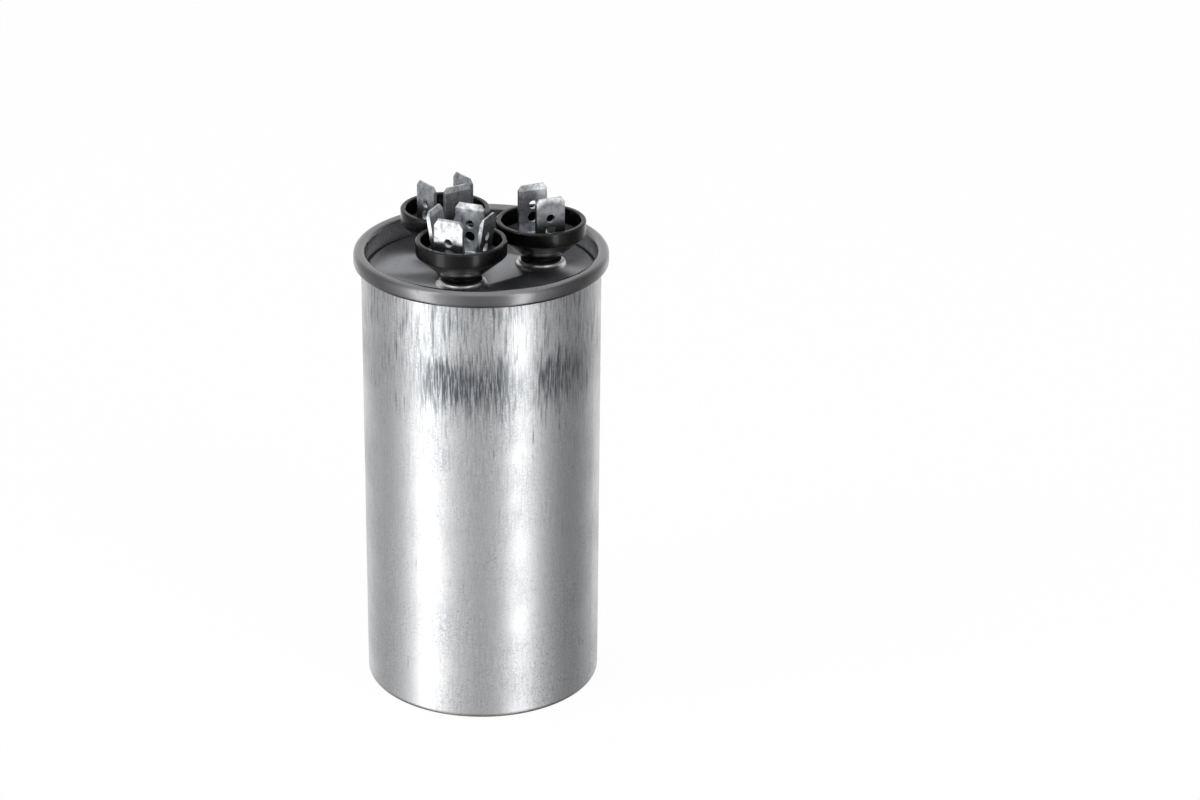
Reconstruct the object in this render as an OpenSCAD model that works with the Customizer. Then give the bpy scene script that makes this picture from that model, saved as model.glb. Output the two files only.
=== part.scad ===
// Motor run capacitor, dual value, in a round aluminium can.
// Origin at the middle of the flat base, +Z up through the lid, common terminal towards -Y.

/* [Can] */
// Outside diameter of the drawn can
can_d = 50; // [45:0.5:60]
// Height from the base to the top of the rolled seam
can_h = 97.9; // [92:0.1:125]
// Thickness of the can wall
can_wall = 0.4; // [0.3:0.05:0.6]
// Thickness of the can base
base_wall = 0.8; // [0.5:0.1:1.4]
// How far the wall tapers in inside the seam
taper_in = 0.1; // [0.05:0.05:0.3]
// Radius of the corner between the base and the wall
base_round = 1.2; // [0.9:0.1:2.5]

/* [Lid and seam] */
// Thickness of the steel lid
lid_wall = 0.4; // [0.3:0.05:0.6]
// Height of the rolled double seam
seam_h = 3.4; // [2.8:0.1:4]
// Gap in the seam, filled with sealing compound
seam_gap = 0.16; // [0.1:0.02:0.24]
// Depth of the lid panel under the top of the seam
lid_depth = 4.5; // [3.7:0.1:6]
// Radius of the bends of the groove round the panel
groove_bend = 0.3; // [0.25:0.05:0.6]
// Height of the pressed boss under each terminal
boss_h = 2.1; // [1.4:0.1:2.4]
// Radius of the flat top of a boss
boss_top_r = 4.7; // [4.4:0.1:5.2]
// How much wider a boss is at its foot than at its top
boss_flare = 1.5; // [0.4:0.1:2]

/* [Terminal cups] */
// Distance of the common terminal from the axis of the can
common_reach = 10.8; // [10.7:0.1:12.8]
// Distance of the herm terminal from the axis of the can
herm_reach = 11.5; // [11.4:0.1:12.8]
// Distance of the fan terminal from the axis of the can
fan_reach = 12.5; // [11.4:0.1:12.8]
// Outside radius of a cup's rim
cup_r = 9.4; // [9:0.1:9.4]
// Height of a cup from its neck to its rim
cup_h = 6.9; // [6.8:0.1:9]
// Height of the upright part of a cup
cup_rim_h = 3.1; // [2:0.1:3.4]
// Wall of a cup at its rim
cup_wall = 1.1; // [0.8:0.05:1.4]
// Radius of a cup's neck
neck_r = 4.2; // [3.8:0.1:4.3]
// Radius of the spigot that a cup puts through the lid
spigot_r = 2.6; // [2.3:0.1:3]
// Depth of a cup's floor under its rim
floor_depth = 4.6; // [4.1:0.1:4.9]
// Radius of a cup's floor
floor_r = 6.2; // [6.1:0.05:6.5]
// Thickness of the rubber gasket under a cup
gasket_t = 0.4; // [0.3:0.1:1]

/* [Blades] */
// Width of a quick-connect blade
blade_w = 6.35; // [4.75:0.05:6.35]
// Thickness of a quick-connect blade
blade_t = 0.8; // [0.5:0.05:1]
// Height of a blade's tip over the cup's floor
blade_h = 11.3; // [10:0.1:12]
// Distance between the middles of two facing blades
blade_span = 9.1; // [8.8:0.1:9.4]
// Inside radius of the bend at a blade's foot
bend_r = 0.4; // [0.2:0.05:0.6]
// Size of the cut corners of a blade's tip
tip_corner = 1; // [0.6:0.1:1.4]
// Height of the lead-in bevels of a blade's tip
tip_bevel = 1.2; // [0.8:0.1:1.6]
// Thickness left at the edge of a blade's tip
tip_edge = 0.35; // [0.2:0.05:0.5]
// Radius of the detent hole near the tip
detent_r = 0.9; // [0.7:0.05:1]
// Distance of the detent hole from the tip
detent_drop = 4.4; // [3.6:0.1:4.6]
// Radius of the wire hole near the foot
wire_hole_r = 1.15; // [0.9:0.05:1.2]
// Distance of the wire hole from the detent hole
wire_hole_drop = 2.7; // [2.5:0.1:3]
// Outward lean of the common terminal's side blades, in degrees
side_lean = 9; // [0:1:12]
// Outward lean of the common terminal's front blade, in degrees
front_lean = 16; // [0:1:18]
// Bend back of the upper half of that blade, in degrees
front_bow = 18; // [0:1:20]

/* [Rivets and insulation] */
// Radius of a rivet's shank
rivet_r = 1.3; // [1:0.1:1.6]
// Radius of a rivet's head
rivet_head_r = 2.2; // [1.9:0.1:2.6]
// Height of a rivet's head
rivet_head_h = 0.7; // [0.5:0.1:0.9]
// Thickness of the insulating washer under the lid
washer_t = 1.2; // [0.8:0.1:1.6]
// Thickness of a solder lug
lug_t = 0.5; // [0.4:0.1:0.8]
// Drop of a solder lug's tail under its ring
lug_tail = 3.6; // [3:0.1:5]
// Running clearance between a shank or spigot and its hole
fit = 0.05; // [0.02:0.01:0.1]

/* [Windings] */
// Gap between the large film roll, for the compressor, and the insulating sleeve
roll_gap = 0.7; // [0.3:0.1:2]
// Length of the large film roll
main_h = 54; // [40:1:54]
// Radius of the small film roll, for the fan
fan_r = 17.5; // [14:0.5:18]
// Length of the small film roll
fan_h = 20; // [12:1:20]
// Outside radius of the winding cores
core_r = 4; // [3.5:0.1:5]
// Wall of the winding cores
core_wall = 1; // [0.6:0.1:1.2]
// Thickness of the sprayed zinc on each end of a roll
spray_t = 0.6; // [0.4:0.1:1]
// Wall of the insulating sleeve
liner_wall = 0.6; // [0.3:0.1:0.7]
// Thickness of the pad under the rolls
pad_t = 2.5; // [2:0.1:3.5]
// Thickness of the spacer plate over the rolls
spacer_t = 1.5; // [1:0.1:2.5]
// Radius of the lead wires
lead_r = 0.6; // [0.4:0.05:0.7]

/* [Hidden] */
$fn = 96;
EPS = 0.01;

// The double seam: the can's hook and the lid's hook lock into each other, with compound between the layers
can_r = can_d / 2;
seam_r = can_r - taper_in;
fold_in = seam_gap + lid_wall / 2;
can_fold = fold_in + can_wall;
lid_fold = can_fold + seam_gap + lid_wall / 2;
rim_fold = lid_fold + lid_wall / 2;
fold_x = seam_r + fold_in;
fold_z = can_h - rim_fold;
under_fold = (can_wall + lid_wall) / 2 + seam_gap;
under_x = fold_x + under_fold;
under_z = can_h - seam_h + under_fold + lid_wall / 2;
taper_z = can_h - seam_h - can_wall;
taper_x = seam_r - can_wall + taper_in * (fold_z - under_z) / (fold_z - taper_z);
chuck_x = fold_x - lid_fold;

// The lid's panel and the groove round it, by the middle of the sheet
panel_z = can_h - lid_depth;
panel_mid = panel_z - lid_wall / 2;
groove_x = chuck_x - groove_bend;
groove_edge_x = groove_x - 2 * groove_bend;
groove_z = panel_mid - groove_bend;
groove_low = groove_z - groove_bend - lid_wall / 2;

// Heights of each terminal's stack
boss_z = panel_z + boss_h;
neck_z = boss_z + gasket_t;
cup_top = neck_z + cup_h;
floor_z = cup_top - floor_depth;
plate_z = floor_z + blade_t;
cone_top = cup_top - cup_rim_h;
washer_top = boss_z - lid_wall;
lug_top = washer_top - washer_t;
tail_z = lug_top - lug_t;
washer_r = boss_top_r - lid_wall - 0.3;
lug_r = washer_r - 0.6;
wire_offset = lug_r + lead_r;
rivet_tail_h = 0.7;
rivet_tail_r = rivet_r + 0.6;

// Blades, from the axis of their terminal
bend_x = blade_span / 2 - blade_t / 2 - bend_r;
blade_len = blade_h - blade_t - bend_r;
bow_r = 4;

// Places of the terminals on the lid, as [distance from the axis, direction], and the turn of each stamping
common = [common_reach, -91];
fan = [fan_reach, 28];
herm = [herm_reach, 152];
common_turn = -3;
fan_turn = 134;
herm_turn = -35;

// Heights and radii inside the can
inner_r = can_r - can_wall;
round_in = base_round - can_wall;
sleeve_r = inner_r - 0.1;
sleeve_bore = sleeve_r - liner_wall;
main_r = sleeve_bore - roll_gap;
pad_top = base_wall + pad_t;
main_z = pad_top + spray_t;
main_top = main_z + main_h;
joint_z = main_top + spray_t;
fan_z = joint_z + spray_t;
fan_top = fan_z + fan_h;
stack_top = fan_top + spray_t;
collar_top = groove_low - 0.2;
collar_wall = 1.2;
lead_top = tail_z - 2.5 * lead_r;
lead_turn = (stack_top + spacer_t + lead_top) / 2;
lead_hole_r = lead_r + 0.4;
common_lead_x = (fan_r + main_r) / 2;
herm_lead_end = 2.25 * core_r;
slot_depth = 2 * lead_r;

// Points along an arc of radius r round c, from angle a to angle b
function arc(c, r, a, b, steps = 8) =
    [for (i = [0:steps]) c + r * [cos(a + (b - a) * i / steps), sin(a + (b - a) * i / steps)]];

// One face of a bent sheet of wall t. A bend is [middle, radius, from angle, to angle]; side is 1 or -1
function sheet_side(bends, t, side) =
    [for (k = bends) each arc(k[0], k[1] + side * sign(k[2] - k[3]) * t / 2, k[2], k[3])];

function reversed(list) = [for (i = [len(list) - 1:-1:0]) list[i]];

lid_bends = [
    [[groove_edge_x, groove_z], groove_bend, 90, 0],
    [[groove_x, groove_z], groove_bend, 180, 360],
    [[fold_x, fold_z], lid_fold, 180, 0],
    [[under_x, under_z], under_fold, 0, -180]
];

// Puts a terminal's piece at its place on the lid, turned by turn
module at_terminal(place, turn = 0) {
    translate(place[0] * [cos(place[1]), sin(place[1]), 0]) rotate([0, 0, turn]) children();
}

module ring(outer, inner, height) {
    difference() {
        cylinder(r = outer, h = height);
        translate([0, 0, -EPS]) cylinder(r = inner, h = height + 2 * EPS);
    }
}

// ---- Can and lid ----

// Drawn in one piece, with its top edge rolled outwards into the hook of the seam
module can() {
    color("silver") rotate_extrude() polygon(concat(
        [[0, 0]],
        arc([can_r - base_round, base_round], base_round, -90, 0),
        [[can_r, taper_z]],
        arc([fold_x, fold_z], fold_in, 180, 0),
        [[fold_x + fold_in, under_z], [fold_x + can_fold, under_z]],
        arc([fold_x, fold_z], can_fold, 0, 180),
        [[inner_r, taper_z]],
        arc([inner_r - round_in, base_wall + round_in], round_in, 0, -90),
        [[0, base_wall]]
    ));
}

// Pressed steel disc: its rim is rolled over the can's hook, and a boss carries each terminal
module lid() {
    color("dimgray") difference() {
        union() {
            rotate_extrude() polygon(concat(
                [[0, panel_z]],
                sheet_side(lid_bends, lid_wall, 1),
                [[fold_x - lid_wall / 2, fold_z], [fold_x + lid_wall / 2, fold_z]],
                reversed(sheet_side(lid_bends, lid_wall, -1)),
                [[0, panel_z - lid_wall]]
            ));
            for (place = [common, fan, herm]) at_terminal(place)
                translate([0, 0, panel_z - lid_wall / 2])
                    cylinder(r1 = boss_top_r + boss_flare, r2 = boss_top_r, h = boss_h + lid_wall / 2);
        }
        for (place = [common, fan, herm]) at_terminal(place) {
            translate([0, 0, panel_z - lid_wall - EPS]) cylinder(
                r1 = boss_top_r + boss_flare - lid_wall,
                r2 = boss_top_r - lid_wall,
                h = boss_h + EPS
            );
            translate([0, 0, panel_z]) cylinder(r = spigot_r + fit, h = boss_h + 1);
        }
    }
}

// Sealing compound between the can's hook and the lid
module seam_compound() {
    color("darkseagreen") rotate_extrude() polygon(concat(
        [[fold_x - can_fold - seam_gap, under_z]],
        arc([fold_x, fold_z], can_fold + seam_gap, 180, 0),
        [[fold_x + can_fold + seam_gap, under_z], [fold_x + can_fold, under_z]],
        arc([fold_x, fold_z], can_fold, 0, 180),
        [[taper_x, under_z]]
    ));
}

// ---- Terminals ----

// Moulded phenolic cup with a spigot that lines the hole of the lid
module cup() {
    color([0.06, 0.06, 0.07]) rotate_extrude() polygon([
        [rivet_r + fit, lug_top],
        [spigot_r, lug_top],
        [spigot_r, neck_z],
        [neck_r, neck_z],
        [neck_r, neck_z + 0.3],
        [cup_r - 0.2, cone_top - 0.1],
        [cup_r, cone_top + 0.1],
        [cup_r, cup_top - 0.25],
        [cup_r - 0.25, cup_top],
        [cup_r - cup_wall + 0.2, cup_top],
        [cup_r - cup_wall, cup_top - 0.2],
        [cup_r - cup_wall, cone_top],
        [floor_r, floor_z],
        [rivet_r + fit, floor_z]
    ]);
}

module gasket() {
    color([0.12, 0.12, 0.12]) translate([0, 0, boss_z]) ring(neck_r, spigot_r + fit, gasket_t);
}

module washer() {
    color("tan") translate([0, 0, lug_top]) ring(washer_r, spigot_r + fit, washer_t);
}

// Solder lug: a ring on the rivet with a tail bent down for the lead
module lug() {
    tail_w = 2.6;
    color("goldenrod") translate([0, 0, tail_z]) difference() {
        union() {
            cylinder(r = lug_r, h = lug_t);
            translate([lug_r - lug_t, -tail_w / 2, -lug_tail]) cube([lug_t, tail_w, lug_tail + lug_t]);
        }
        translate([0, 0, -EPS]) cylinder(r = rivet_r + fit, h = lug_t + 2 * EPS);
        difference() {
            translate([lug_r - lug_t, -lug_r, -EPS]) cube([lug_t + 1, 2 * lug_r, lug_t + 2 * EPS]);
            translate([0, -tail_w / 2, -lug_tail]) cube([lug_r, tail_w, lug_tail + 1]);
        }
    }
}

// Rivet that clamps the blades, the cup, the washer and the lug to the lid
module rivet() {
    color("gainsboro") rotate_extrude() polygon(concat(
        [[0, tail_z - rivet_tail_h], [rivet_tail_r, tail_z - rivet_tail_h], [rivet_tail_r, tail_z]],
        [[rivet_r, tail_z], [rivet_r, plate_z], [rivet_head_r, plate_z]],
        [for (a = [15:15:90]) [rivet_head_r * cos(a), plate_z + rivet_head_h * sin(a)]]
    ));
}

// Side view of a blade, from its foot bend to its tapered tip. lean tips it outwards, bow bends its upper half inwards
module blade_side(lean, bow) {
    foot = [bend_x, floor_z + blade_t + bend_r];
    mid_r = bend_r + blade_t / 2;
    lower = bow == 0 ? blade_len : blade_len / 2;
    out = [cos(lean), -sin(lean)];
    crease = foot + mid_r * out + lower * [sin(lean), cos(lean)];
    upper = blade_len - lower;
    tip_out = [cos(lean - bow), -sin(lean - bow)];
    tip = crease + bow_r * (tip_out - out) + upper * [sin(lean - bow), cos(lean - bow)];
    shoulder = tip - tip_bevel * [sin(lean - bow), cos(lean - bow)];
    function face(side) = concat(
        arc(foot, mid_r + side * blade_t / 2, -90, -lean),
        bow == 0 ? [] : arc(crease - bow_r * out, bow_r + side * blade_t / 2, -lean, bow - lean, 4),
        [shoulder + side * blade_t / 2 * tip_out, tip + side * tip_edge / 2 * tip_out]
    );
    polygon(concat(face(1), reversed(face(-1))));
}

// Front view of a blade, with its two tip corners cut
module blade_front() {
    half = blade_w / 2;
    corner_w = tip_corner * 0.7;
    polygon([
        [-half, -blade_t - bend_r - 1], [half, -blade_t - bend_r - 1],
        [half, blade_len - tip_corner], [half - corner_w, blade_len],
        [-half + corner_w, blade_len], [-half, blade_len - tip_corner]
    ]);
}

// One blade at +X, folded up from the plate
module blade(lean, bow) {
    difference() {
        intersection() {
            rotate([90, 0, 0]) linear_extrude(blade_w, center = true) blade_side(lean, bow);
            translate([bend_x, 0, floor_z + blade_t + bend_r]) rotate([0, lean, 0])
                rotate([90, 0, 90]) linear_extrude(2 * blade_w, center = true) blade_front();
        }
        translate([bend_x, 0, floor_z + blade_t + bend_r]) rotate([0, lean, 0])
            for (hole = [[detent_r, detent_drop], [wire_hole_r, detent_drop + wire_hole_drop]])
                translate([-blade_w / 2, 0, blade_len - hole[1]])
                    rotate([0, 90, 0]) cylinder(r = hole[0], h = blade_w);
    }
}

// One stamping: a plate on the floor of the cup with a blade folded up at each [direction, lean, bow]
module blades(arms) {
    color("lightsteelblue") difference() {
        union() {
            for (arm = arms) rotate([0, 0, arm[0]]) {
                translate([-blade_w / 2, -blade_w / 2, floor_z])
                    cube([bend_x + blade_w / 2, blade_w, blade_t]);
                blade(arm[1], arm[2]);
            }
        }
        translate([0, 0, floor_z - 1]) cylinder(r = rivet_r + fit, h = blade_t + 2);
    }
}

module common_blades() {
    at_terminal(common, common_turn)
        blades([[-90, front_lean, front_bow], [0, side_lean, 0], [90, 0, 0], [180, side_lean, 0]]);
}

module herm_blades() {
    at_terminal(herm, herm_turn) blades([[0, 0, 0], [90, 0, 0], [270, 0, 0]]);
}

module fan_blades() {
    at_terminal(fan, fan_turn) blades([[0, 0, 0], [180, 0, 0]]);
}

// ---- Inside the can ----

module insulating_sleeve() {
    color("wheat") translate([0, 0, pad_top]) ring(sleeve_r, sleeve_bore, stack_top - pad_top);
}

// Pad with a slot for the lead that reaches the lower face of the large roll
module bottom_pad() {
    color("ivory") difference() {
        rotate_extrude() polygon([
            [0, base_wall],
            [inner_r - round_in, base_wall],
            [sleeve_r, base_wall + round_in],
            [sleeve_r, pad_top],
            [0, pad_top]
        ]);
        rotate([0, 0, herm[1]]) translate([-2 * lead_r, -2 * lead_r, pad_top - slot_depth])
            cube([herm_lead_end + 3 * lead_r, 4 * lead_r, slot_depth + 1]);
    }
}

module winding(radius, low, height) {
    color("lightgray") translate([0, 0, low]) ring(radius, core_r, height);
}

module spray(radius, low) {
    color("slategray") translate([0, 0, low]) ring(radius - 0.5, core_r, spray_t);
}

module core(low, high) {
    color("white") translate([0, 0, low]) ring(core_r, core_r - core_wall, high - low);
}

// Plate on the rolls with a collar up to the lid, which keeps the rolls from moving
module top_spacer() {
    color("whitesmoke") difference() {
        union() {
            translate([0, 0, stack_top]) cylinder(r = sleeve_bore, h = spacer_t);
            translate([0, 0, stack_top])
                ring(sleeve_bore, sleeve_bore - collar_wall, collar_top - stack_top);
        }
        translate([0, 0, stack_top - EPS]) {
            cylinder(r = core_r - core_wall, h = spacer_t + 2 * EPS);
            rotate([0, 0, common[1]]) translate([common_lead_x, 0, 0])
                cylinder(r = lead_hole_r, h = spacer_t + 2 * EPS);
            rotate([0, 0, fan[1]]) translate([fan_reach - wire_offset, 0, 0])
                cylinder(r = lead_hole_r, h = spacer_t + 2 * EPS);
        }
    }
}

// A lead through the given points, each [distance from the can's axis, height]
module lead(points) {
    color("tomato") {
        for (i = [0:len(points) - 2]) {
            run = points[i + 1] - points[i];
            translate([points[i].x, 0, points[i].y])
                rotate([0, atan2(run.x, run.y), 0]) cylinder(r = lead_r, h = norm(run));
        }
        for (i = [1:len(points) - 2]) translate([points[i].x, 0, points[i].y]) sphere(r = lead_r);
    }
}

module common_lead() {
    rotate([0, 0, common[1]]) lead([
        [common_reach + wire_offset, lead_top], [common_reach + wire_offset, lead_turn],
        [common_lead_x, lead_turn], [common_lead_x, joint_z]
    ]);
}

module herm_lead() {
    rotate([0, 0, herm[1]]) lead([
        [herm_reach - wire_offset, lead_top], [herm_reach - wire_offset, lead_turn],
        [0, lead_turn], [0, pad_top - lead_r], [herm_lead_end, pad_top - lead_r]
    ]);
}

module fan_lead() {
    rotate([0, 0, fan[1]]) lead([[fan_reach - wire_offset, lead_top], [fan_reach - wire_offset, stack_top]]);
}

can();
lid();
seam_compound();
at_terminal(common) cup();  // common_cup
at_terminal(common) gasket();  // common_gasket
common_blades();
at_terminal(common) rivet();  // common_rivet
at_terminal(common) washer();  // common_washer
at_terminal(common, common[1]) lug();  // common_lug
at_terminal(herm) cup();  // herm_cup
at_terminal(herm) gasket();  // herm_gasket
herm_blades();
at_terminal(herm) rivet();  // herm_rivet
at_terminal(herm) washer();  // herm_washer
at_terminal(herm, herm[1] + 180) lug();  // herm_lug
at_terminal(fan) cup();  // fan_cup
at_terminal(fan) gasket();  // fan_gasket
fan_blades();
at_terminal(fan) rivet();  // fan_rivet
at_terminal(fan) washer();  // fan_washer
at_terminal(fan, fan[1] + 180) lug();  // fan_lug
insulating_sleeve();
bottom_pad();
winding(main_r, main_z, main_h);  // main_winding
core(pad_top, joint_z);  // main_core
spray(main_r, pad_top);  // main_lower_spray
spray(main_r, main_top);  // main_upper_spray
winding(fan_r, fan_z, fan_h);  // fan_winding
core(joint_z, stack_top);  // fan_core
spray(fan_r, joint_z);  // fan_lower_spray
spray(fan_r, fan_top);  // fan_upper_spray
top_spacer();
common_lead();
herm_lead();
fan_lead();
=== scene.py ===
from math import pi, radians

import bmesh
import bpy
from mathutils import Matrix, Vector


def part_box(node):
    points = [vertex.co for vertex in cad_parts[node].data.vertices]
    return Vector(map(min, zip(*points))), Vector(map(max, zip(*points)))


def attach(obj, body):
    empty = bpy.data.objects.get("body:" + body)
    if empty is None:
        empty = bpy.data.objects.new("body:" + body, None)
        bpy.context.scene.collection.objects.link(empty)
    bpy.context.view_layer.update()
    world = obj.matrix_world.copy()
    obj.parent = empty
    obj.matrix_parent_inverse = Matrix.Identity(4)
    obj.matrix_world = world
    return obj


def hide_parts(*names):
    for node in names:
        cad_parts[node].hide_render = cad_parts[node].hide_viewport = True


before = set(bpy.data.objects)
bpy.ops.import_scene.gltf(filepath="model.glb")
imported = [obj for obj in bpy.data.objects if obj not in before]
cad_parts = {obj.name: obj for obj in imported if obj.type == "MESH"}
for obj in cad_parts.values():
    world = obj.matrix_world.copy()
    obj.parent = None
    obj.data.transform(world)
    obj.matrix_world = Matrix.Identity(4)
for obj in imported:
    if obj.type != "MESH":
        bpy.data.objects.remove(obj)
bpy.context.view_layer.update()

mm = 0.001


def srgb(hexColour):
    # hex as picked on screen to the linear colour that Cycles wants
    parts = [int(hexColour[i:i + 2], 16) / 255 for i in (0, 2, 4)]
    return (*[c / 12.92 if c <= 0.04045 else ((c + 0.055) / 1.055) ** 2.4 for c in parts], 1)


def addNode(tree, kind, inputs=None, **settings):
    # inputs go by socket name or number; each is a value, a socket, or a node for its first output
    node = tree.nodes.new("ShaderNode" + kind)
    for key, value in settings.items():
        setattr(node, key, value)
    for key, value in (inputs or {}).items():
        named = [s for s in node.inputs if s.enabled and s.name == key]
        socket = named[0] if named else node.inputs[key]
        if isinstance(value, bpy.types.Node):
            value = [s for s in value.outputs if s.enabled][0]
        if isinstance(value, bpy.types.NodeSocket):
            tree.links.new(value, socket)
        else:
            socket.default_value = value
    return node


def fillRamp(node, stops, brightest=1.0):
    # stops are [degrees from -180 to 180, level]; a ramp holds no more than 1, so levels are shares
    ramp = node.color_ramp
    ramp.interpolation = "LINEAR"
    while len(ramp.elements) < len(stops):
        ramp.elements.new(0.5)
    for element, (angle, level) in zip(ramp.elements, stops):
        element.position = (angle + 180) / 360
        element.color = (*[level / brightest] * 3, 1)
    return node


def newMaterial(name):
    mat = bpy.data.materials.new(name)
    mat.use_nodes = True
    return mat, mat.node_tree, mat.node_tree.nodes["Principled BSDF"]


def addPatterns(tree, patterns):
    # the noises that a material is made of; size is that of one mark along X, Y and Z, in mm
    place = addNode(tree, "TexCoord").outputs["Object"]
    made = {}
    for name, look in patterns.items():
        scale = tuple(1 / (side * mm) for side in look["size"])
        mapped = addNode(tree, "Mapping", {"Vector": place, "Scale": scale,
                                           "Rotation": look.get("turn", (0, 0, 0))})
        made[name] = addNode(tree, "TexNoise", {"Vector": mapped, "Scale": 1.0, "Detail": look["detail"],
                                                "Roughness": look["roughness"]})
    return place, made


def layColours(tree, base, layers):
    # layers are [amount, hex], each laid over the ones before
    colour = srgb(base)
    for amount, tint in layers:
        colour = addNode(tree, "Mix", {"Factor": amount, "A": colour, "B": srgb(tint)}, data_type="RGBA")
    return colour


def finishSkin(tree, skin, colour, rough, made, relief, normal=None):
    # relief is {pattern: [strength, depth in mm]}
    for name, (strength, depth) in relief.items():
        inputs = {"Strength": strength, "Distance": depth * mm, "Height": made[name]}
        if normal:
            inputs["Normal"] = normal
        normal = addNode(tree, "Bump", inputs)
    tree.links.new(colour.outputs[2], skin.inputs["Base Color"])
    tree.links.new(rough.outputs[0], skin.inputs["Roughness"])
    tree.links.new(normal.outputs[0], skin.inputs["Normal"])


def placeObject(name, shape):
    mesh = bpy.data.meshes.new(name)
    shape.to_mesh(mesh)
    shape.free()
    item = bpy.data.objects.new(name, mesh)
    bpy.context.scene.collection.objects.link(item)
    return item


# a long lens, a little above the lid
cameraView = dict(
    lens=100.0, sensor=36.0,     # mm
    nearest=0.01,                # m; nothing closer shows
    distance=0.7118,             # m to the middle of the can
    turn=19.0,                   # degrees to the right of the common terminal
    down=23.65,                  # degrees above the horizon
    roll=0.63,
    across=-0.0981, up=-0.0467,  # where the middle of the can sits, in frame widths from the centre
    middle=(0, 0, 50 * mm),
)


def buildCamera():
    look = cameraView
    data = bpy.data.cameras.new("camera")
    data.lens, data.sensor_width, data.clip_start = look["lens"], look["sensor"], look["nearest"]
    camera = bpy.data.objects.new("camera", data)
    bpy.context.scene.collection.objects.link(camera)
    turned = (
        Matrix.Rotation(radians(look["turn"]), 3, "Z")
        @ Matrix.Rotation(radians(90 - look["down"]), 3, "X")
        @ Matrix.Rotation(radians(look["roll"]), 3, "Z")
    )
    perWidth = look["sensor"] / look["lens"]
    sight = Vector((look["across"] * perWidth, look["up"] * perWidth, -1)).normalized()
    camera.rotation_euler = turned.to_euler()
    camera.location = Vector(look["middle"]) - turned @ sight * look["distance"]
    bpy.context.scene.camera = camera
    bpy.context.scene.view_settings.view_transform = "Standard"


buildCamera()
print("stage: camera")

studio = dict(
    # what the metal sees round it, two tall strip lights among grey flats:
    # [degrees from the camera's side, level]
    strips=[
        (-180, 0.9), (-150, 1.0), (-128, 0.55), (-98, 0.36), (-78, 0.65), (-64, 1.1), (-60, 2.7),
        (-45, 2.7), (-39, 1.2), (-25, 0.75), (-8, 0.45), (10, 0.45), (24, 0.6), (30, 0.8), (34, 2.9),
        (43, 2.9), (48, 0.8), (62, 0.5), (80, 0.24), (105, 0.22), (130, 0.5), (150, 1.0), (180, 0.9),
    ],
    brightest=4.0,       # the most that a strip's level may be
    cameraSide=-71.0,    # where the camera stands round the can, degrees
    ceiling=1.0,         # level of the soft light overhead
    ceilingFade={"From Min": 0.62, "From Max": 0.87},    # sine of the height where it takes over
    footLevel=0.35,      # how much of the flats' light is left close to the table
    footFade={"From Min": -0.8, "From Max": -0.4},       # sine of the depth where that is
    fill=0.78,           # what matt surfaces get from all round
    radius=3.0,          # m
)
paper = dict(shade="fafafa", roughness=0.9, glow=0.96, size=2.0)    # glow: how much of it is plain white
lamps = dict(
    keyLeft=dict(place=(-0.75, -0.75, 0.75), size=(0.5, 0.9), power=6),
    fillRight=dict(place=(0.85, -0.45, 0.6), size=(0.4, 0.8), power=4),
)


def buildWorld():
    # white wherever the eye, gloss or glass looks, and a plain fill on what is matt
    world = bpy.data.worlds.new("studio")
    bpy.context.scene.world = world
    world.use_nodes = True
    tree = world.node_tree
    tree.nodes.clear()
    rays = addNode(tree, "LightPath").outputs
    seen = rays["Is Camera Ray"]
    for ray in ("Is Glossy Ray", "Is Transmission Ray"):
        seen = addNode(tree, "Math", {0: seen, 1: rays[ray]}, operation="MAXIMUM")
    level = addNode(tree, "MapRange", {"Value": seen, "To Min": studio["fill"], "To Max": 1.0})
    shine = addNode(tree, "Background", {"Strength": level})
    addNode(tree, "OutputWorld", {"Surface": shine})


def buildDome():
    # strip lights and grey flats round the table, seen only in what shines
    shape = bmesh.new()
    bmesh.ops.create_uvsphere(shape, u_segments=64, v_segments=32, radius=studio["radius"])
    dome = placeObject("studioFlats", shape)
    mat = bpy.data.materials.new("stripLightsAndFlats")
    mat.use_nodes = True
    tree = mat.node_tree
    tree.nodes.clear()
    parts = addNode(tree, "SeparateXYZ", {"Vector": addNode(tree, "TexCoord").outputs["Object"]}).outputs
    # the way round from the camera's side, as a share of the circle
    azimuth = addNode(tree, "Math", {0: parts["Y"], 1: parts["X"]}, operation="ARCTAN2")
    turned = addNode(tree, "Math", {0: azimuth, 1: radians(180 - studio["cameraSide"])}, operation="ADD")
    wrapped = addNode(tree, "Math", {0: turned, 1: 2 * pi, 2: 0.0}, operation="WRAP")
    share = addNode(tree, "Math", {0: wrapped, 1: 2 * pi}, operation="DIVIDE")
    flats = fillRamp(addNode(tree, "ValToRGB", {"Fac": share}), studio["strips"], studio["brightest"])
    sine = addNode(tree, "Math", {0: parts["Z"], 1: studio["radius"]}, operation="DIVIDE")
    foot = addNode(tree, "MapRange", {"Value": sine, **studio["footFade"],
                                      "To Min": studio["brightest"] * studio["footLevel"],
                                      "To Max": studio["brightest"]}, interpolation_type="SMOOTHSTEP")
    lit = addNode(tree, "Math", {0: flats, 1: foot}, operation="MULTIPLY")
    above = addNode(tree, "MapRange", {"Value": sine, **studio["ceilingFade"]},
                    interpolation_type="SMOOTHSTEP")
    level = addNode(tree, "Mix", {"Factor": above, "A": lit, "B": studio["ceiling"]}, data_type="FLOAT")
    glow = addNode(tree, "Emission", {"Strength": level})
    addNode(tree, "OutputMaterial", {"Surface": glow})
    dome.data.materials.append(mat)
    dome.visible_camera = dome.visible_diffuse = dome.visible_shadow = False
    dome.visible_transmission = dome.visible_volume_scatter = False


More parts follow.
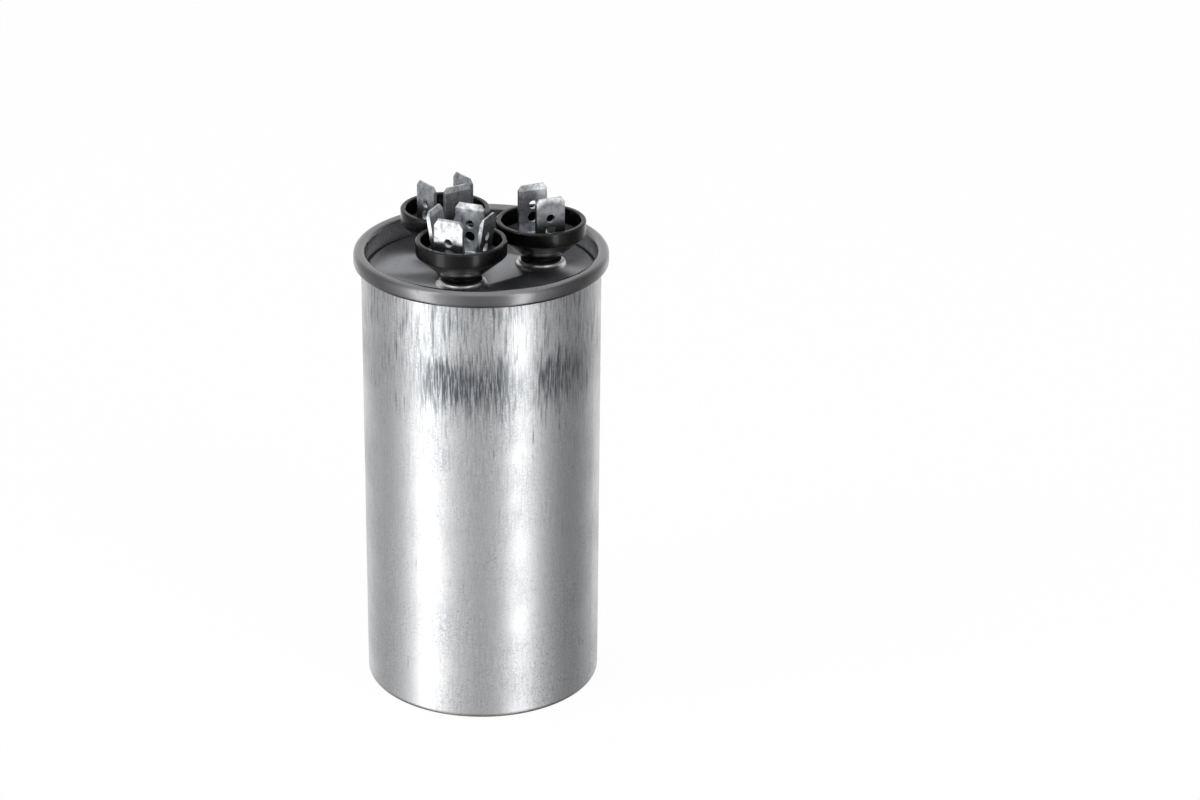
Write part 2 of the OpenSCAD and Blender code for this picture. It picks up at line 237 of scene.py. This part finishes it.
def buildTable():
    # white paper: white to the eye, and what is left of its own shade is the can's soft shadow
    shape = bmesh.new()
    bmesh.ops.create_grid(shape, x_segments=1, y_segments=1, size=paper["size"])
    table = placeObject("table", shape)
    mat, tree, skin = newMaterial("whitePaper")
    skin.inputs["Base Color"].default_value = srgb(paper["shade"])
    skin.inputs["Roughness"].default_value = paper["roughness"]
    eye = addNode(tree, "LightPath").outputs["Is Camera Ray"]
    share = addNode(tree, "Math", {0: eye, 1: paper["glow"]}, operation="MULTIPLY")
    white = addNode(tree, "Emission", {"Strength": 1.0})
    both = addNode(tree, "MixShader", {0: share, 1: skin, 2: white})
    tree.links.new(both.outputs[0], tree.nodes["Material Output"].inputs["Surface"])
    table.data.materials.append(mat)
    table.visible_glossy = False


def buildLamps():
    # big soft boxes, left out of the gloss because the dome has its own strip lights
    for name, look in lamps.items():
        data = bpy.data.lights.new(name, "AREA")
        data.shape = "RECTANGLE"
        data.size, data.size_y = look["size"]
        data.energy = look["power"]
        lamp = bpy.data.objects.new(name, data)
        lamp.location = look["place"]
        aim = Vector(cameraView["middle"]) - Vector(look["place"])
        lamp.rotation_euler = aim.to_track_quat("-Z", "Y").to_euler()
        lamp.visible_glossy = False
        bpy.context.scene.collection.objects.link(lamp)


buildWorld()
buildDome()
buildTable()
buildLamps()
print("stage: studio")

# the middle of each terminal, by its cup
terminals = {name.removesuffix("_cup"): [(low + high) / 2 for low, high in zip(*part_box(name))]
             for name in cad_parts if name.endswith("_cup")}
newPieces = []           # [piece, the CAD node it stands for]
neckEnd = 8.45           # mm under the rim of a cup, where its neck meets the gasket
cupShape = dict(
    # half section in mm, [radius, depth under the rim]
    section=[
        (1.35, 5.2), (6.2, 5.2), (8.3, 3.5), (8.3, 0.2),          # floor, and up the inside
        (8.5, 0.0), (9.15, 0.0), (9.4, 0.25), (9.4, 3.0),         # rim
        (9.2, 3.25), (8.4, 3.95), (7.0, 5.2), (5.6, 6.4),         # cone
        (4.7, 7.15), (4.25, 7.7), (4.3, neckEnd),                 # neck
        (2.6, neckEnd), (2.6, 11.0), (1.35, 11.0),                # spigot through the lid, and its bore
    ],
    higher=0.6,          # mm; how far the rims stand over the CAD's
    steps=128,
    sharp=30,            # degrees; corners sharper than this keep their edge
)
gasketShape = dict(thickness=0.25, hole=2.65, radius=4.3)    # mm
# the CAD's bosses, and what they are pressed to here; heights over the panel and radii in mm
bossShape = dict(
    cadHeight=2.1, height=1.3,
    cadTop=4.7, top=4.5,
    cadFoot=6.2, foot=5.5,
    lowered=1.0,         # what stands higher than this comes down with the top
    hole=3.5,            # the edges of the hole lie within this and keep their radius
    reach=6.5,           # no boss reaches past this
    flat=0.9999,         # level faces, by how upright they point, are not smoothed
    sharp=15,            # degrees
)


def standFor(piece, node):
    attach(piece, "root")
    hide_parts(node)
    newPieces.append((piece, node))


def spinPiece(name, section, middle):
    # a closed half section turned once round its terminal; section in m, [radius, height]
    shape = bmesh.new()
    corners = [shape.verts.new((middle[0] + radius, middle[1], height)) for radius, height in section]
    edges = [shape.edges.new((corner, corners[i - 1])) for i, corner in enumerate(corners)]
    bmesh.ops.spin(shape, geom=corners + edges, cent=(middle[0], middle[1], 0), axis=(0, 0, 1),
                   angle=2 * pi, steps=cupShape["steps"], use_merge=True)
    bmesh.ops.remove_doubles(shape, verts=shape.verts, dist=1e-7)
    bmesh.ops.recalc_face_normals(shape, faces=shape.faces)
    for face in shape.faces:
        face.smooth = True
    piece = placeObject(name, shape)
    piece.data.set_sharp_from_angle(angle=radians(cupShape["sharp"]))
    return piece


def buildCups():
    # each cup with its cone and neck, and the rubber ring that it presses on the boss
    for name, middle in terminals.items():
        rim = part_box(name + "_cup")[1][2] + cupShape["higher"] * mm
        section = [(radius * mm, rim - depth * mm) for radius, depth in cupShape["section"]]
        standFor(spinPiece(name + "_cup_moulding", section, middle), name + "_cup")
        high = rim - neckEnd * mm
        low = high - gasketShape["thickness"] * mm
        inner, outer = gasketShape["hole"] * mm, gasketShape["radius"] * mm
        ring = [(inner, low), (outer, low), (outer, high), (inner, high)]
        standFor(spinPiece(name + "_gasket_ring", ring, middle), name + "_gasket")


def buildLid():
    # the CAD's lid again, with lower and narrower bosses
    look = bossShape
    shape = bmesh.new()
    shape.from_mesh(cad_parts["lid"].data)
    bmesh.ops.remove_doubles(shape, verts=shape.verts, dist=1e-6)
    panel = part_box("common_gasket")[0][2] - look["cadHeight"] * mm
    squeeze = (look["foot"] - look["top"]) / (look["cadFoot"] - look["cadTop"])
    for vert in shape.verts:
        for middle in terminals.values():
            centre = Vector(middle[:2])
            away = vert.co.xy - centre
            radius = away.length / mm
            if radius > look["reach"]:
                continue
            if radius > look["hole"]:
                past = radius - look["cadTop"]
                past *= squeeze if past > 0 else 1
                vert.co.xy = centre + away * ((look["top"] + past) / radius)
            if vert.co.z > panel + look["lowered"] * mm:
                vert.co.z -= (look["cadHeight"] - look["height"]) * mm
            break
    for face in shape.faces:
        face.smooth = abs(face.normal.z) < look["flat"]
    lid = placeObject("lid_pressing", shape)
    lid.data.set_sharp_from_angle(angle=radians(look["sharp"]))
    standFor(lid, "lid")


buildCups()
buildLid()
print("stage: pieces")

canLook = dict(
    metal="e8e9ea", line="b4b7bb", scuff="666a71", foot="b3a78f",
    patterns=dict(
        # die lines; the real ones are finer, these are as coarse as they need to show
        lines=dict(size=(0.33, 0.33, 4.2), detail=3.0, roughness=0.6),
        rubs=dict(size=(0.65, 0.65, 8.5), detail=4.0, roughness=0.65),        # marks of handling
        grain=dict(size=(0.4, 0.4, 0.4), detail=2.0, roughness=0.5),          # etched, between the lines
        patches=dict(size=(14.0, 14.0, 14.0), detail=4.0, roughness=0.6),
        nicks=dict(size=(2.6, 2.6, 0.22), detail=2.0, roughness=0.5),         # short and crosswise
    ),
    relief=dict(lines=(0.2, 0.02), grain=(0.5, 0.02), patches=(0.2, 0.3)),
    # how strongly each shows
    lines={"From Min": 0.4, "From Max": 0.65},
    linesByHeight={"From Min": 35 * mm, "From Max": 92 * mm, "To Min": 0.6},
    grain={"From Min": 0.4, "From Max": 0.7, "To Max": 0.9},
    patches={"From Min": 0.35, "From Max": 0.65, "To Min": 0.35, "To Max": 1.1},
    rubsFrom={"From Min": 55 * mm, "From Max": 95 * mm, "To Min": 0.64, "To Max": 0.5},
    rubs={"From Min": 0.0, "From Max": 0.14, "To Max": 0.75},
    nicks={"From Min": 0.74, "From Max": 0.8, "To Max": 0.8},
    footEdge={"From Min": 1.3 * mm, "From Max": 0.3 * mm, "To Max": 0.8},
    # the band that a strap rubbed: its lower and upper edge over the base, and how ragged they are
    bandLow={"From Min": 66.5 * mm, "From Max": 76.5 * mm},
    bandHigh={"From Min": 84.5 * mm, "From Max": 78.5 * mm},
    bandRagged={"From Min": 0.3, "From Max": 0.7, "To Min": -4 * mm, "To Max": 4 * mm},
    bandStreaks={"From Min": 0.36, "From Max": 0.56, "To Min": 0.3, "To Max": 1.1},
    # how much is rubbed, by degrees round the can
    bandRound=[
        (-180, 0.1), (-104, 0.15), (-90, 1.0), (-62, 1.0), (-53, 0.15), (-45, 0.15), (-39, 1.0),
        (-20, 0.8), (-5, 0.1), (60, 0.1), (75, 0.6), (95, 0.5), (110, 0.1), (180, 0.1),
    ],
    roughness={"From Min": 0.3, "From Max": 0.7, "To Min": 0.32, "To Max": 0.42},
    bandRougher=0.1,
)


def drawnAluminium():
    # bare deep-drawn aluminium: upright die lines over a fine grain blur reflections into soft bands
    look = canLook
    mat, tree, skin = newMaterial("drawnAluminium")
    place, made = addPatterns(tree, look["patterns"])
    parts = addNode(tree, "SeparateXYZ", {"Vector": place}).outputs
    # rubbed band under the seam, ragged above and below
    shifted = addNode(tree, "MapRange", {"Value": made["rubs"], **look["bandRagged"]})
    ragged = addNode(tree, "Math", {0: parts["Z"], 1: shifted}, operation="ADD")
    low, high = [addNode(tree, "MapRange", {"Value": ragged, **look[edge]}, interpolation_type="SMOOTHSTEP")
                 for edge in ("bandLow", "bandHigh")]
    azimuth = addNode(tree, "Math", {0: parts["Y"], 1: parts["X"]}, operation="ARCTAN2")
    share = addNode(tree, "MapRange", {"Value": azimuth, "From Min": -pi, "From Max": pi})
    sides = fillRamp(addNode(tree, "ValToRGB", {"Fac": share}), look["bandRound"])
    streaks = addNode(tree, "MapRange", {"Value": made["lines"], **look["bandStreaks"]})
    band = low
    for part in (high, sides, streaks):
        band = addNode(tree, "Math", {0: band, 1: part}, operation="MULTIPLY")
    # marks of handling all over, more of them towards the seam
    rubsFrom = addNode(tree, "MapRange", {"Value": parts["Z"], **look["rubsFrom"]})
    rubs = addNode(tree, "Math", {0: made["rubs"], 1: rubsFrom}, operation="SUBTRACT")
    rubs = addNode(tree, "MapRange", {"Value": rubs, **look["rubs"]})
    # lines and grain, cloudy over the can
    lines = addNode(tree, "MapRange", {"Value": made["lines"], **look["lines"]})
    byHeight = addNode(tree, "MapRange", {"Value": parts["Z"], **look["linesByHeight"]})
    lines = addNode(tree, "Math", {0: lines, 1: byHeight}, operation="MULTIPLY")
    grain = addNode(tree, "MapRange", {"Value": made["grain"], **look["grain"]})
    tone = addNode(tree, "Math", {0: lines, 1: grain}, operation="MAXIMUM")
    clouds = addNode(tree, "MapRange", {"Value": made["patches"], **look["patches"]})
    tone = addNode(tree, "Math", {0: tone, 1: clouds}, operation="MULTIPLY")
    nicks = addNode(tree, "MapRange", {"Value": made["nicks"], **look["nicks"]})
    footEdge = addNode(tree, "MapRange", {"Value": parts["Z"], **look["footEdge"]})
    colour = layColours(tree, look["metal"], [
        (tone, look["line"]), (rubs, look["scuff"]), (band, look["scuff"]), (nicks, look["scuff"]),
        (footEdge, look["foot"]),
    ])
    rough = addNode(tree, "MapRange", {"Value": made["patches"], **look["roughness"]})
    rough = addNode(tree, "Math", {0: band, 1: look["bandRougher"], 2: rough}, operation="MULTIPLY_ADD")
    skin.inputs["Metallic"].default_value = 1.0
    finishSkin(tree, skin, colour, rough, made, look["relief"])
    return mat


lidLook = dict(
    # the bosses' colour is a painted highlight, much lighter than the panel's
    panel="929397", boss="e6e6e7", rim="848486", speck="4b4b4d",
    patterns=dict(
        cloud=dict(size=(6.0, 6.0, 6.0), detail=5.0, roughness=0.6),          # smears of the tin
        specks=dict(size=(0.7, 0.7, 0.7), detail=2.0, roughness=0.5),         # pits
    ),
    relief=dict(cloud=(0.25, 0.08), specks=(0.15, 0.02)),
    pits={"From Min": 0.68, "From Max": 0.76, "To Max": 0.7},
    # from the axis: where the panel ends and the rolled rim begins; the rim's darker colour is painted
    # shade
    rimStart={"From Min": 23.6 * mm, "From Max": 24.2 * mm},
    bossFrom=0.1, bossTo=0.5,            # mm over the panel, where the painted highlight on the bosses begins
    soften=0.35, softenRim=0.25,         # mm; radius that the press leaves on its bends
    bendSamples=6,
    roughness={"From Min": 0.3, "From Max": 0.7, "To Min": 0.31, "To Max": 0.4},
    rimSmoother=0.13,
)


def tinnedSteelSheet():
    # electro-tinned steel sheet, pressed and rolled: satin grey, with a painted highlight on the bosses and
    # painted shade on the rolled rim
    look = lidLook
    mat, tree, skin = newMaterial("tinnedSteelSheet")
    place, made = addPatterns(tree, look["patterns"])
    parts = addNode(tree, "SeparateXYZ", {"Vector": place}).outputs
    level = addNode(tree, "CombineXYZ", {"X": parts["X"], "Y": parts["Y"]})
    radius = addNode(tree, "VectorMath", {0: level}, operation="LENGTH").outputs["Value"]
    # the rolled rim: its darker colour is painted shade; it is also smoother and its bends are rounded less
    rim = addNode(tree, "MapRange", {"Value": radius, **look["rimStart"]})
    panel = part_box("common_gasket")[0][2] - bossShape["cadHeight"] * mm
    # painted highlight: the raised bosses are coloured lighter
    boss = addNode(tree, "MapRange", {"Value": parts["Z"], "From Min": panel + look["bossFrom"] * mm,
                                      "From Max": panel + look["bossTo"] * mm})
    pits = addNode(tree, "MapRange", {"Value": made["specks"], **look["pits"]})
    colour = layColours(tree, look["panel"], [
        (boss, look["boss"]), (rim, look["rim"]), (pits, look["speck"]),
    ])
    rough = addNode(tree, "MapRange", {"Value": made["cloud"], **look["roughness"]})
    rough = addNode(tree, "Math", {0: rim, 1: -look["rimSmoother"], 2: rough}, operation="MULTIPLY_ADD")
    bend = addNode(tree, "MapRange", {"Value": rim, "To Min": look["soften"] * mm,
                                      "To Max": look["softenRim"] * mm})
    bent = addNode(tree, "Bevel", {"Radius": bend}, samples=look["bendSamples"])
    skin.inputs["Metallic"].default_value = 1.0
    finishSkin(tree, skin, colour, rough, made, look["relief"], bent)
    return mat


cupLook = dict(
    resin="070708", worn="4a4a4c",
    patterns=dict(
        wave=dict(size=(4.5, 4.5, 4.5), detail=3.0, roughness=0.5),           # the mould's unevenness
        scratch=dict(size=(3.0, 0.3, 0.3), turn=(0.3, 0.2, 0.6), detail=3.0, roughness=0.5),
    ),
    relief=dict(wave=(0.2, 0.08)),
    edge=0.25, edgeSamples=4,            # mm; radius of the moulded edges
    edgeTurn={"From Min": 0.99, "From Max": 0.85},       # cosine of the turn where an edge is worn
    edgeWear={"From Min": 0.45, "From Max": 0.62},
    scratches={"From Min": 0.68, "From Max": 0.76, "To Max": 0.35},
    roughness={"From Min": 0.3, "From Max": 0.7, "To Min": 0.1, "To Max": 0.2},
    ior=1.6, specular=0.25,
)


def blackPhenolic():
    # compression-moulded black phenolic: glossy and slightly wavy, greyer where its edges are rubbed
    look = cupLook
    mat, tree, skin = newMaterial("blackPhenolic")
    place, made = addPatterns(tree, look["patterns"])
    rounded = addNode(tree, "Bevel", {"Radius": look["edge"] * mm}, samples=look["edgeSamples"])
    plain = addNode(tree, "NewGeometry").outputs["Normal"]
    turn = addNode(tree, "VectorMath", {0: rounded, 1: plain}, operation="DOT_PRODUCT").outputs["Value"]
    edge = addNode(tree, "MapRange", {"Value": turn, **look["edgeTurn"]})
    worn = addNode(tree, "MapRange", {"Value": made["scratch"], **look["edgeWear"]})
    rubbed = addNode(tree, "Math", {0: edge, 1: worn}, operation="MULTIPLY")
    scratches = addNode(tree, "MapRange", {"Value": made["scratch"], **look["scratches"]})
    amount = addNode(tree, "Math", {0: rubbed, 1: scratches}, operation="MAXIMUM")
    colour = layColours(tree, look["resin"], [(amount, look["worn"])])
    rough = addNode(tree, "MapRange", {"Value": made["wave"], **look["roughness"]})
    skin.inputs["IOR"].default_value = look["ior"]
    skin.inputs["Specular IOR Level"].default_value = look["specular"]
    finishSkin(tree, skin, colour, rough, made, look["relief"], rounded)
    return mat


tinLook = dict(
    bright="d6d9dc", dull="8b9095", dark="56565a",
    patterns=dict(
        marks=dict(size=(1.6, 1.6, 1.6), detail=6.0, roughness=0.7),          # smears of the dip
        rolled=dict(size=(0.25, 0.25, 4.0), detail=3.0, roughness=0.5),       # lines along the strip
    ),
    relief=dict(marks=(0.35, 0.05), rolled=(0.2, 0.01)),
    smears={"From Min": 0.42, "From Max": 0.66},
    lines={"From Min": 0.58, "From Max": 0.72, "To Max": 0.55},
    edge=0.12, edgeSamples=4,            # mm; radius that the die leaves
    # painted shade on the front blade of the fan terminal: a darker spot, placed from the terminal's middle
    # and the tips, in mm
    paintedShadeSpot=(3.16, -3.27, -5.5),
    paintedShade={"From Min": 5.5 * mm, "From Max": 4.5 * mm, "To Max": 0.75},
    roughness={"From Min": 0.3, "From Max": 0.7, "To Min": 0.26, "To Max": 0.46},
)


def brightTin(name, shade):
    # hot-dipped tin on strip: bright but smeared, with fine rolled lines and painted shade on the fan
    # terminal's front blade; shade is how much is darker
    look = tinLook
    mat, tree, skin = newMaterial(name)
    place, made = addPatterns(tree, look["patterns"])
    smears = addNode(tree, "MapRange", {"Value": made["marks"], **look["smears"]})
    lines = addNode(tree, "MapRange", {"Value": made["rolled"], **look["lines"]})
    # painted shade: darker round a spot on the fan terminal's front blade
    start = (*terminals["fan"][:2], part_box("fan_blades")[1][2])
    spot = tuple(middle + part * mm for middle, part in zip(start, look["paintedShadeSpot"]))
    reach = addNode(tree, "VectorMath", {0: place, 1: spot}, operation="DISTANCE").outputs["Value"]
    paintedShade = addNode(tree, "MapRange", {"Value": reach, **look["paintedShade"]})
    colour = layColours(tree, look["bright"], [
        (smears, look["dull"]), (lines, look["dark"]), (shade, look["dark"]), (paintedShade, look["dark"]),
    ])
    rough = addNode(tree, "MapRange", {"Value": made["marks"], **look["roughness"]})
    rounded = addNode(tree, "Bevel", {"Radius": look["edge"] * mm}, samples=look["edgeSamples"])
    skin.inputs["Metallic"].default_value = 1.0
    finishSkin(tree, skin, colour, rough, made, look["relief"], rounded)
    return mat


# by the last word of the node: name, two colours, roughness, grain in mm, metallic
plainStuffs = dict(
    gasket=("nitrileRubber", "141415", "1f1f20", 0.7, 1.1, 0.0),                  # moulded, dull black
    compound=("driedSealingCompound", "5f6d60", "4e5a50", 0.6, 1.4, 0.0),         # flowed in, grey green
    washer=("pressedBoard", "a5835c", "8c6c48", 0.8, 0.8, 0.0),                   # fibrous matt brown
    lug=("tinnedBrass", "c9ad6a", "b79a5a", 0.3, 2.0, 1.0),                       # yellow through the tin
    winding=("metallisedFilm", "b9bcc1", "a7abb2", 0.25, 3.3, 0.0),               # wound, smooth and grey
    spray=("sprayedZinc", "8d9095", "6f7277", 0.65, 0.7, 1.0),                    # grainy dull metal
    core=("naturalPolypropylene", "e6e2d6", "d9d4c6", 0.45, 2.5, 0.0),            # extruded, milky
    pad=("naturalPolypropylenePad", "e6e2d6", "d9d4c6", 0.45, 2.5, 0.0),          # moulded, milky
    spacer=("naturalPolypropyleneSpacer", "e6e2d6", "d9d4c6", 0.45, 2.5, 0.0),    # moulded, milky
    sleeve=("insulatingFilm", "dcc79b", "cdb686", 0.4, 2.9, 0.0),                 # rolled, amber sheen
    lead=("redLeadInsulation", "a8281c", "92231a", 0.4, 2.0, 0.0),                # extruded, soft shine
)
stuffLook = dict(
    detail=4.0, roughness=0.6, relief=(0.2, 0.05),
    mottle={"From Min": 0.35, "From Max": 0.65},
    unevenness=0.06,     # how far the roughness strays either way
)


def mottledStuff(name, first, second, roughness, grain, metallic):
    # one stuff all through, with the mottling of its own grain
    look = stuffLook
    mat, tree, skin = newMaterial(name)
    place, made = addPatterns(tree, dict(mottle=dict(size=(grain,) * 3, detail=look["detail"],
                                                     roughness=look["roughness"])))
    share = addNode(tree, "MapRange", {"Value": made["mottle"], **look["mottle"]})
    colour = layColours(tree, first, [(share, second)])
    rough = addNode(tree, "MapRange", {"Value": share, "To Min": roughness - look["unevenness"],
                                       "To Max": roughness + look["unevenness"]})
    skin.inputs["Metallic"].default_value = metallic
    finishSkin(tree, skin, colour, rough, made, dict(mottle=look["relief"]))
    return mat


# by the last word of the node
finishes = {
    "can": drawnAluminium(),
    "lid": tinnedSteelSheet(),
    "cup": blackPhenolic(),
    "blades": brightTin("hotDippedTin", 0.0),
    "rivet": brightTin("nickelPlatedRivet", 0.25),
    **{word: mottledStuff(*stuff) for word, stuff in plainStuffs.items()},
}
for item, node in [(item, name) for name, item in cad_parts.items()] + newPieces:
    item.data.materials.clear()
    item.data.materials.append(finishes[node.split("_")[-1]])
print("stage: materials")
